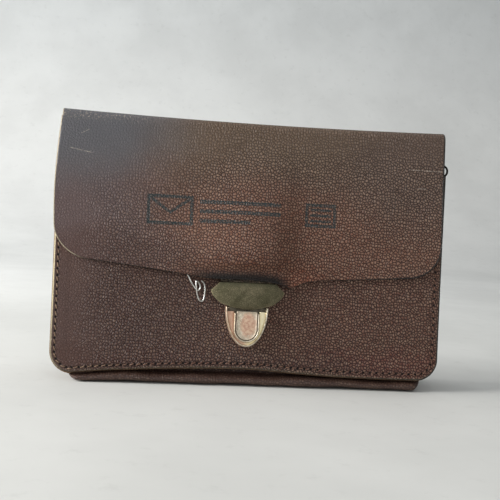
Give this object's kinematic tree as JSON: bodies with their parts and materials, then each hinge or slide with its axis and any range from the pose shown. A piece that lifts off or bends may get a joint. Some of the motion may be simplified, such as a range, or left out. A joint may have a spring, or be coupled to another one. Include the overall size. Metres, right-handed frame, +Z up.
{
  "type": "mail carrier bag",
  "caption": "Flat leather carrier's pouch with a long fold-over flap, a gusset between its panels, a press lock with a padded tab, and a small ring at one side.",
  "frame": {"origin": "middle of the bag's box, at the level that it stands on", "axes": "+Z up, +X to the right as the flap is seen from the front, the front faces -Y"},
  "size_m": [0.2822, 0.052, 0.1845],
  "materials": {
    "hide": "grained, worn",
    "gusset_hide": "grained, dull",
    "tab_suede": "napped, rubbed",
    "lock_metal": "worn nickel plate",
    "button_metal": "rubbed through to copper tones",
    "tongue_metal": "dull",
    "wire_metal": "bright drawn wire",
    "ring_metal": "blackened",
    "ring_tab_hide": "worn"
  },
  "bodies": {
    "bag": {"back_and_flap": "hide", "front_panel": "hide", "gusset": "gusset_hide", "lock_plate": "lock_metal", "lock_tongue": "tongue_metal", "lock_tab": "tab_suede", "wire_clip": "wire_metal", "ring_tab": "ring_tab_hide"},
    "button": {"lock_button": "button_metal"},
    "ring": {"side_ring": "ring_metal"}
  },
  "joints": [
    {"name": "button_press", "type": "slide", "parent": "bag", "child": "button", "axis": [0, 0.994, -0.1092], "range_m": [0, 0.0015], "stiffness_N_per_m": 400},
    {"name": "ring_swing", "type": "hinge", "parent": "bag", "child": "ring", "pos_m": [0.12847, 0.01031, 0.158], "axis": [0, 0, 1], "range_deg": [-60, 60]}
  ]
}
